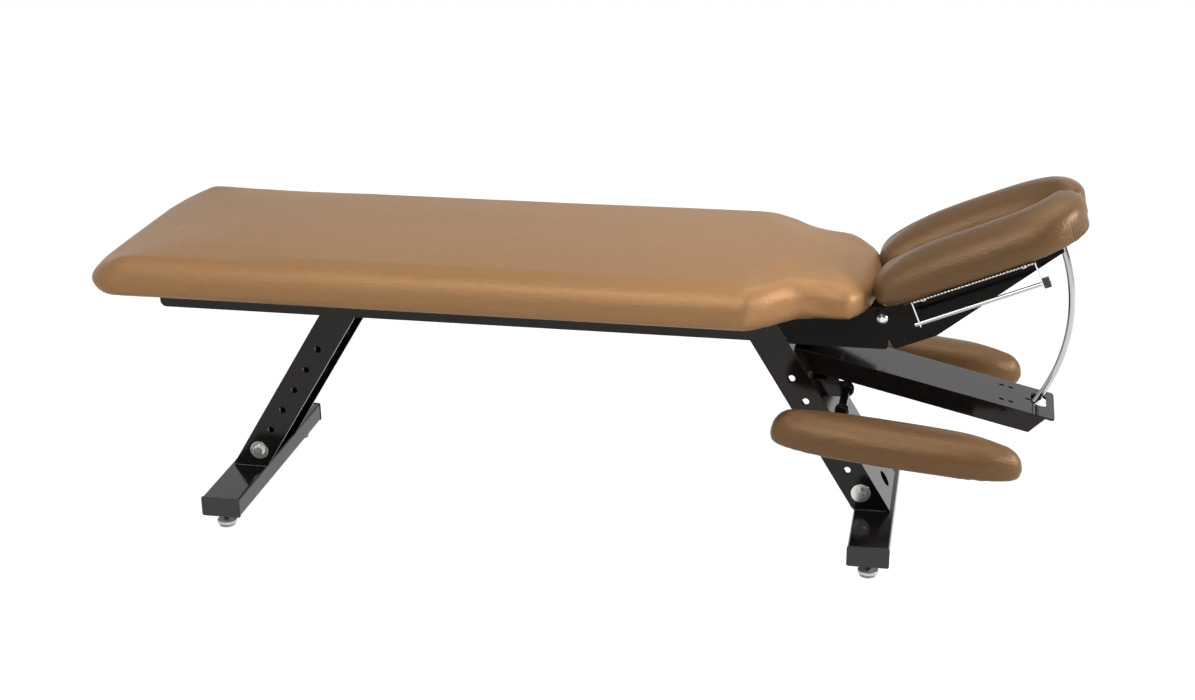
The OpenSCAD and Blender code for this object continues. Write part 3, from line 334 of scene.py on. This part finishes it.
def lobe_outline():
    # Edge x and y, centre x and y as shares of the lobe, and the share by which the top dips
    shares = [
        (0, 0.62, 0.13, 0.60, 0.2), (0.004, 0.75, 0.13, 0.62, 0.2),
        (0.022, 0.85, 0.13, 0.62, 0.18), (0.065, 0.925, 0.15, 0.61, 0.15),
        (0.14, 0.965, 0.18, 0.60, 0.1), (0.28, 0.99, 0.28, 0.605, 0.03),
        (0.42, 1, 0.42, 0.615, 0), (0.56, 1, 0.56, 0.62, 0), (0.70, 0.975, 0.69, 0.61, 0),
        (0.80, 0.91, 0.76, 0.59, 0), (0.885, 0.80, 0.82, 0.53, 0), (0.95, 0.65, 0.86, 0.44, 0),
        (0.985, 0.47, 0.875, 0.36, 0), (1, 0.28, 0.88, 0.27, 0), (0.992, 0.11, 0.885, 0.24, 0),
        (0.965, 0.03, 0.88, 0.23, 0), (0.92, 0.012, 0.87, 0.23, 0), (0.87, 0.04, 0.855, 0.27, 0),
        (0.82, 0.11, 0.82, 0.36, 0), (0.75, 0.185, 0.75, 0.50, 0), (0.64, 0.23, 0.64, 0.60, 0),
        (0.50, 0.245, 0.50, 0.62, 0), (0.36, 0.24, 0.36, 0.61, 0), (0.22, 0.215, 0.24, 0.60, 0.05),
        (0.11, 0.20, 0.17, 0.58, 0.12), (0.045, 0.235, 0.14, 0.57, 0.16),
        (0.012, 0.33, 0.13, 0.57, 0.2), (0.001, 0.47, 0.13, 0.59, 0.2)]
    q = curve_through(shares, 6, closed=True)
    edge = np.column_stack([LOBE_BACK + LOBE_LEN * q[:, 0], LOBE_W * q[:, 1]])
    centre = np.column_stack([LOBE_BACK + LOBE_LEN * q[:, 2], LOBE_W * q[:, 3]])
    return edge, centre, -LOBE_T * q[:, 4]


def arm_outline():
    steps = 60
    mid = ARM_HALF - ARM_BACK

    def at(u, side):
        taper = ARM_HALF_W * (1 - 0.12 * u * u)
        return mid + ARM_HALF * u, side * taper * max(1 - abs(u) ** 3.6, 0) ** (1 / 2.2)

    us = [-math.cos(math.pi * i / steps) for i in range(steps + 1)]
    edge = [at(u, 1) for u in us] + [at(-u, -1) for u in us[1:-1]]
    centre = [(mid + ARM_HALF * max(-ARM_CORE, min(ARM_CORE, u)), 0.0)
              for u in us + [-u for u in us[1:-1]]]
    return np.array(edge), np.array(centre), np.zeros(len(edge))


def profile(t, crown):
    """Inset, share toward the centre, height and share of the extra height, round the section."""
    under = [(RIM, 0, RECESS, 0), (RIM, 0, 0, 0)]
    bend = [(RIM, 0, 0, 0), (t * 0.07, 0, 0, 0), (0, 0, t * 0.25, 0.25),
            (t * 0.035, 0, t * 0.51, 0.5), (t * 0.12, 0, t * 0.70, 0.7),
            (t * 0.27, 0, t * 0.86, 0.86), (t * 0.46, 0, t * 0.955, 0.95),
            (t * 0.70, 0, t * 0.98, 1)]
    side = [tuple(p) for p in curve_through(bend, 5)]

    def dome(share):
        return t * 0.955 + (t * 0.045 + crown) * math.sin(math.pi / 2 * min(1, share * 1.25))

    top = [(t * 0.46, s, dome(s), 1) for s in (0.0, 0.15, 0.3, 0.45, 0.6, 0.75, 0.9)]
    return under + side + top


def mesh_object(name, verts, faces):
    """A closed form of points in millimetres, with its faces outward."""
    me = bpy.data.meshes.new(name)
    me.from_pydata([(x / 1000, y / 1000, z / 1000) for x, y, z in verts], [], faces)
    bm = bmesh.new()
    bm.from_mesh(me)
    bmesh.ops.recalc_face_normals(bm, faces=bm.faces)
    bm.to_mesh(me)
    bm.free()
    return link(name, me)


def pad_mesh(name, edge, centre, extra, levels, gain=1.0):
    """A closed skin of rings; the top is closed by rungs between the last ring's halves."""
    n, m = len(edge), len(levels)
    v = edge - centre
    d = np.linalg.norm(v, axis=1)
    verts = []
    for inset, share, z, part in levels:
        dist = np.maximum(d - inset * (1 + (gain - 1) * part) - SHRINK, d * 0.1) * (1 - share)
        p = centre + v / d[:, None] * dist[:, None]
        verts += [(x, y, z + part * e) for (x, y), e in zip(p, extra)]
    faces = [list(range(n))]
    for j in range(m - 1):
        for i in range(n):
            k = (i + 1) % n
            faces.append([j * n + i, (j + 1) * n + i, (j + 1) * n + k, j * n + k])
    o = (m - 1) * n
    for i in range(n // 2 - 1):
        faces.append([o + i, o + n - 1 - i, o + n - 2 - i, o + i + 1])
    return mesh_object(name, verts, faces)


# Work on a cushion's points
def get_co(me):
    co = np.zeros(len(me.vertices) * 3)
    me.vertices.foreach_get("co", co)
    return co.reshape(-1, 3)


def set_co(me, co):
    me.vertices.foreach_set("co", np.ascontiguousarray(co, float).ravel())
    me.update()


def get_edges(me):
    e = np.zeros(len(me.edges) * 2, int)
    me.edges.foreach_get("vertices", e)
    return e.reshape(-1, 2)


def normals(me):
    nv = np.zeros(len(me.vertices) * 3)
    me.vertices.foreach_get("normal", nv)
    return nv.reshape(-1, 3)


def evaluated_mesh(ob):
    deps = bpy.context.evaluated_depsgraph_get()
    return bpy.data.meshes.new_from_object(ob.evaluated_get(deps))


def remesh(ob, voxel):
    mod = ob.modifiers.new("REMESH", "REMESH")
    mod.mode = "VOXEL"
    mod.voxel_size = voxel
    me, old = evaluated_mesh(ob), ob.data
    ob.modifiers.clear()
    ob.data = me
    bpy.data.meshes.remove(old)


def relax(ob, times):
    """Smooths the steps that a remesh leaves, and keeps the size."""
    co, e = get_co(ob.data), get_edges(ob.data)
    deg = np.bincount(e.ravel(), minlength=len(co))[:, None]
    for factor in (0.5, -0.5 * 1.03) * times:
        acc = np.zeros_like(co)
        np.add.at(acc, e[:, 0], co[e[:, 1]])
        np.add.at(acc, e[:, 1], co[e[:, 0]])
        co += (acc / np.maximum(deg, 1) - co) * factor
    set_co(ob.data, co)


CLOTH = {"quality": 5, "mass": 0.4, "tension_stiffness": 18, "compression_stiffness": 18,
         "shear_stiffness": 8, "bending_stiffness": 3, "use_pressure": True,
         "uniform_pressure_force": 1.5, "vertex_group_mass": "pins"}
# Points below PIN_Z are held, and no point moves more than MOST, both in metres
CLOTH_FRAMES, PIN_Z, MOST = 20, 0.004, 0.0025


def puff(ob, voxel):
    """Remesh, then let cloth with air inside tighten over the foam."""
    remesh(ob, voxel)
    relax(ob, 4)
    start = get_co(ob.data)
    pins = ob.vertex_groups.new(name="pins")
    pins.add([int(i) for i in np.nonzero(start[:, 2] < PIN_Z)[0]], 1.0, "REPLACE")
    mod = ob.modifiers.new("cloth", "CLOTH")
    for k, v in CLOTH.items():
        setattr(mod.settings, k, v)
    mod.settings.effector_weights.gravity = 0
    mod.collision_settings.use_collision = False
    mod.point_cache.frame_start, mod.point_cache.frame_end = 1, CLOTH_FRAMES
    for f in range(1, CLOTH_FRAMES + 1):
        scene.frame_set(f)
    sim = evaluated_mesh(ob)
    moved = get_co(sim) - start
    bpy.data.meshes.remove(sim)
    ob.modifiers.clear()
    ob.vertex_groups.clear()
    scene.frame_set(1)
    nv = normals(ob.data)
    out = np.clip((moved * nv).sum(1), 0, None)
    set_co(ob.data, start + nv * (MOST * np.tanh(out / MOST))[:, None])
    relax(ob, 2)


def smooth_step(x):
    x = np.clip(x, 0, 1)
    return x * x * (3 - 2 * x)


def bell(x, at, width):
    return np.exp(-((x - at) / width) ** 2)


def shape(ob, move):
    """Moves the points by a function of their places, in millimetres."""
    co = get_co(ob.data) * 1000
    set_co(ob.data, (co + np.column_stack(move(*co.T))) / 1000)


def calm(ob, weight, times):
    """Evens out the height where the weight is, for a top that has no folds in it."""
    co, e = get_co(ob.data), get_edges(ob.data)
    w = weight(*(co * 1000).T)
    e = e[(w[e] > 0).any(1)]
    a, b = np.concatenate([e[:, 0], e[:, 1]]), np.concatenate([e[:, 1], e[:, 0]])
    deg = np.maximum(np.bincount(a, minlength=len(co)), 1)
    for k in range(times):
        mean = np.bincount(a, weights=co[b, 2], minlength=len(co)) / deg
        co[:, 2] += np.where(w > 0, (mean - co[:, 2]) * w * 0.6, 0)
    set_co(ob.data, co)


def tucks(ob, spots, depth, width, top):
    """Short folds up from the lower edge; a spot is a point of the outline and its tangent."""
    me = ob.data
    near, margin = max(18, 3 * width), 6
    co = get_co(me) * 1000
    hit = np.zeros(len(co), bool)
    for px, py, tx, ty in spots:
        by = np.hypot(co[:, 0] - px, co[:, 1] - py)
        hit |= (by < near + margin) & (co[:, 2] < top + margin)
    bm = bmesh.new()
    bm.from_mesh(me)
    bm.verts.ensure_lookup_table()
    cut = [ed for ed in bm.edges if hit[ed.verts[0].index] and hit[ed.verts[1].index]]
    bmesh.ops.subdivide_edges(bm, edges=cut, cuts=3, use_grid_fill=True)
    bm.to_mesh(me)
    bm.free()
    me.update()
    co, nv = get_co(me) * 1000, normals(me)
    push = np.zeros(len(co))
    for px, py, tx, ty in spots:
        dx, dy = co[:, 0] - px, co[:, 1] - py
        here = np.hypot(dx, dy) < near
        push = np.maximum(push, here * bell(dx * tx + dy * ty, 0, width))
    push *= depth * smooth_step(1 - co[:, 2] / top) * smooth_step(co[:, 2] / 3 + 0.3)
    set_co(me, (co - nv * push[:, None]) / 1000)


def spots_on(edge, first, last, step):
    """Spots every step millimetres of the outline between two of its points."""
    run = edge[first:last + 1]
    seg = np.diff(run, axis=0)
    far = np.concatenate([[0], np.cumsum(np.linalg.norm(seg, axis=1))])
    out = []
    for s in np.arange(0, far[-1] + 0.01, step):
        i = min(np.searchsorted(far, s, side="right") - 1, len(seg) - 1)
        tan = seg[i] / np.linalg.norm(seg[i])
        out.append((*(run[i] + tan * (s - far[i])), *tan))
    return out


def finish_pad(ob, cad, body, place, mat):
    ob.data.transform(place)
    if place.determinant() < 0:
        ob.data.flip_normals()
    ob.data.materials.clear()
    ob.data.materials.append(mat)
    sub = ob.modifiers.new("smooth", "SUBSURF")
    sub.levels = sub.render_levels = 1
    for p in ob.data.polygons:
        p.use_smooth = True
    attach(ob, body)
    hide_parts(cad)


# The three shapings after the cloth, as moves in millimetres
def body_form(x, y, z):
    """A full foot end, a wider neck and a lowered front."""
    foot_end = smooth_step((FOOT_X + 60 - x) / 60)
    front = smooth_step((x - NECK_X + 70) / 70)
    flank = smooth_step(z / 60) * smooth_step(np.abs(y) / NECK_W * 2 - 0.2)
    return (-7 * bell(z, 22, 15) * foot_end + 4 * bell(z, 50, 20) * front,
            9 * np.sign(y) * bell(x, NECK_X - 135, 55) * flank,
            -12 * smooth_step((x - NECK_X + 180) / 160) * smooth_step((z - 25) / 50))


def lobe_form(x, y, z):
    """A front that leans back toward its lower edge, and a fuller back."""
    lean = -12 * bell(z, 16, 26) * smooth_step((x - 290) / 115)
    return lean - 3 * smooth_step((60 - x) / 50) * smooth_step(z / 20), 0 * y, 0 * z


def arm_form(x, y, z):
    """A thinner head end."""
    return 0 * x, 0 * y, -0.15 * z * smooth_step((x - 215) / 120)


def foot_top(x, y, z):
    """Where the top of the foot end lies flat."""
    along = smooth_step((FOOT_X + 420 - x) / 160) * smooth_step((x - FOOT_X - 26) / 50)
    return along * smooth_step((BODY_W / 2 - 26 - np.abs(y)) / 50) * (z > 50)


def nearest(edge, x, y):
    return np.argmin(np.hypot(edge[:, 0] - x, edge[:, 1] - y))


TAN = (0.455, 0.243, 0.104)
vin_body = vinyl("vinyl_body", TAN, 0.0)
# The head's and the arm rests' vinyl is the body's colour darkened to 0.41 and 0.45 of it: painted
# shade for the lobes and arm rests, which take less light, since all cushions share one vinyl
vin_head_shaded = vinyl("vinyl_head_shaded", tuple(c * 0.41 for c in TAN), 3.1, (0.30, 0.38), 0.32)
vin_arm_shaded = vinyl("vinyl_arm_shaded", tuple(c * 0.45 for c in TAN), 7.7, (0.33, 0.41), 0.28)

edge = body_outline()
core_x = np.clip(edge[:, 0], FOOT_X + BODY_W / 2, NECK_X - NECK_W / 2)
centre = np.column_stack([core_x, np.zeros(len(edge))])
foot = np.clip((FOOT_X + FOOT_BOW / 2 + FOOT_R - edge[:, 0]) / FOOT_R, 0, 1) ** 2
pad = pad_mesh("cushion_body", edge, centre, -FOOT_DIP * foot, profile(BODY_T, BODY_CROWN),
               1 + FOOT_ROLL * foot)
puff(pad, BODY_VOXEL)
calm(pad, foot_top, CALM_TIMES)
shape(pad, body_form)
foot_corner = nearest(edge, FOOT_X + 12, 14 - BODY_W / 2)
shoulder = nearest(edge, NECK_X - NECK_RUN, -BODY_W / 2)
for at in (foot_corner, shoulder, len(edge) - foot_corner, len(edge) - shoulder):
    tucks(pad, spots_on(edge, at, at + 1, BODY_LEN), *CORNER_FOLD)
on_spine = Matrix.Translation((0, 0, SPINE_TOP / 1000))
finish_pad(pad, "body_cushion", "frame", on_spine, vin_body)

to_head = (Matrix.Translation((PIVOT[0] / 1000, 0, PIVOT[1] / 1000))
           @ Matrix.Rotation(-HEAD_TILT, 4, "Y") @ Matrix.Translation(LOBE_LIFT))
to_arm = (Matrix.Translation(ARM_ROD) @ Matrix.Rotation(ARM_TILT, 4, "Y")
          @ Matrix.Translation(ARM_OFF))
lobe, arm = lobe_outline(), arm_outline()
edge = lobe[0]
front = [i for i, (x, y) in enumerate(edge) if x > PLEATS_AHEAD and PLEATS_FROM < y < PLEATS_TO]
for side, mirror in (("l", Matrix.Identity(4)), ("r", Matrix.Diagonal((1, -1, 1, 1)))):
    pad = pad_mesh("cushion_head_" + side, *lobe, profile(LOBE_T, LOBE_CROWN))
    puff(pad, PAD_VOXEL)
    shape(pad, lobe_form)
    tucks(pad, spots_on(edge, min(front), max(front), PLEAT_STEP), *FRONT_PLEAT)
    finish_pad(pad, "head_cushion_" + side, "headpiece", mirror @ to_head, vin_head_shaded)
    pad = pad_mesh("cushion_arm_" + side, *arm, profile(ARM_T, 0))
    puff(pad, PAD_VOXEL)
    shape(pad, arm_form)
    finish_pad(pad, "arm_cushion_" + side, "arm_rest_" + side, mirror @ to_arm, vin_arm_shaded)

# Weld beads where the inner legs stand on their cross bars, in millimetres: where the legs start,
# their length and side face, the bars' top, and the beads' place and half size
LEG_FROM = {"foot": -714.3, "head": 518.9}
LEG_LONG, LEG_FACE, BAR_TOP = 64.6, 82.2, 68.0
BEAD_OUT, BEAD_UP, BEAD_W, BEAD_H = 3.9, 0.5, 3.2, 1.5
BEAD_RINGS, BEAD_AROUND = 96, 10


def weld(name, body, start, side):
    """A rippled bead along the leg's side face, thin at both ends."""
    verts, faces = [], []
    for i in range(BEAD_RINGS + 1):
        x = start + LEG_LONG * i / BEAD_RINGS
        end = min(1, 0.25 + i / 6, 0.25 + (BEAD_RINGS - i) / 6)
        r = end * (1 + 0.24 * abs(math.sin(x / 1.25)) + 0.10 * math.sin(x * 0.41))
        for k in range(BEAD_AROUND):
            a = 2 * math.pi * k / BEAD_AROUND
            verts.append((x, side * (LEG_FACE + BEAD_OUT + BEAD_W * r * math.cos(a)),
                          BAR_TOP + BEAD_UP + BEAD_H * r * math.sin(a)))
    for i in range(BEAD_RINGS):
        o, up = i * BEAD_AROUND, (i + 1) * BEAD_AROUND
        for k in range(BEAD_AROUND):
            j = (k + 1) % BEAD_AROUND
            faces.append([o + k, up + k, up + j, o + j])
    faces += [list(range(BEAD_AROUND))[::-1],
              [BEAD_RINGS * BEAD_AROUND + k for k in range(BEAD_AROUND)]]
    ob = mesh_object(name, verts, faces)
    for p in ob.data.polygons:
        p.use_smooth = True
    ob.data.materials.append(finishes["weld"])
    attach(ob, body)


for end, start in LEG_FROM.items():
    for side, s in (("l", 1), ("r", -1)):
        weld("weld_" + end + "_" + side, end + "_leg", start, s)

# Floor: white to the camera and in gloss, and it keeps the object's shadow
FLOOR_HALF, FLOOR_DROP = 20, 0.0005
FLOOR_TONE, IN_GLOSS, TO_CAMERA, SEE_THROUGH = (0.35, 0.35, 0.35, 1), 0.975, 0.105, 0.87
WHITE = (1, 1, 1, 1)
floor_me = bpy.data.meshes.new("floor")
floor_me.from_pydata([(x * FLOOR_HALF, y * FLOOR_HALF, 0)
                      for x, y in ((-1, -1), (1, -1), (1, 1), (-1, 1))], [], [[0, 1, 2, 3]])
floor = link("floor", floor_me)
floor.location.z = -FLOOR_DROP
g = material("floor")
rays = g.add("ShaderNodeLightPath").outputs
mirrored = g.math("MULTIPLY", g.math("MAXIMUM", rays["Is Glossy Ray"], rays["Is Transmission Ray"]),
                  IN_GLOSS)
direct = g.math("MULTIPLY", rays["Is Camera Ray"], TO_CAMERA)
diffuse = g.add("ShaderNodeBsdfDiffuse", {"Color": FLOOR_TONE})
glow = g.add("ShaderNodeEmission", {"Color": WHITE, "Strength": g.math("ADD", mirrored, direct)})
# The camera also sees down through the floor, where a lengthened leg stands below it
through = g.add("ShaderNodeBsdfTransparent",
                {"Color": g.math("MULTIPLY", rays["Is Camera Ray"], SEE_THROUGH)})
both = g.add("ShaderNodeAddShader", {0: diffuse.outputs[0], 1: glow.outputs[0]})
floor_me.materials.append(
    g.finish(g.add("ShaderNodeAddShader", {0: both.outputs[0], 1: through.outputs[0]})))

# World: white to the camera and in gloss; the studio's unlit side, behind the camera and to its
# right, is dark in gloss and metal, and all else gets a weak light
UNLIT_SIDE, WEAK = (0.80, -0.59, 0.10), 0.02
UNLIT_FROM, UNLIT_FULL, UNLIT_LEVEL = 0.25, 0.70, 0.10
world = bpy.data.worlds.new("world")
scene.world = world
g = Graph(world, "ShaderNodeOutputWorld")
rays = g.add("ShaderNodeLightPath").outputs
seen = g.math("MAXIMUM", rays["Is Camera Ray"], rays["Is Transmission Ray"])
toward = g.add("ShaderNodeVectorMath", {0: g.coord["Generated"], 1: UNLIT_SIDE},
               operation="DOT_PRODUCT").outputs["Value"]
lit = g.add("ShaderNodeMapRange", {"Value": toward, "From Min": UNLIT_FROM, "From Max": UNLIT_FULL,
                                   "To Min": 1.0, "To Max": UNLIT_LEVEL}).outputs[0]
gloss = g.math("MULTIPLY", rays["Is Glossy Ray"], lit)
level = g.math("MAXIMUM", g.math("MAXIMUM", seen, gloss), WEAK)
g.finish(g.add("ShaderNodeBackground", {"Color": WHITE, "Strength": level}))

# Lamps: place, aim, size in metres and power in watts
LAMPS = {
    "key": ((0.0, -2.4, 2.7), (0, 0, 0.5), (2.4, 1.0), 53),
    "top": ((1.1, 0.2, 2.8), (0.7, 0, 0.5), (1.8, 1.6), 20),
    "head_end": ((3.4, -0.3, 1.5), (0.6, 0, 0.5), (0.5, 0.5), 74),
    "foot_end": ((-2.4, -2.8, 1.2), (-0.2, 0, 0.45), (1.0, 1.0), 6),
}
for name, (at, to, size, power) in LAMPS.items():
    data = bpy.data.lights.new(name, "AREA")
    data.shape = "RECTANGLE"
    data.size, data.size_y = size
    data.energy = power
    ob = link(name, data)
    ob.location = at
    ob.rotation_euler = (Vector(to) - Vector(at)).to_track_quat("-Z", "Y").to_euler()

scene.view_settings.view_transform = "Standard"
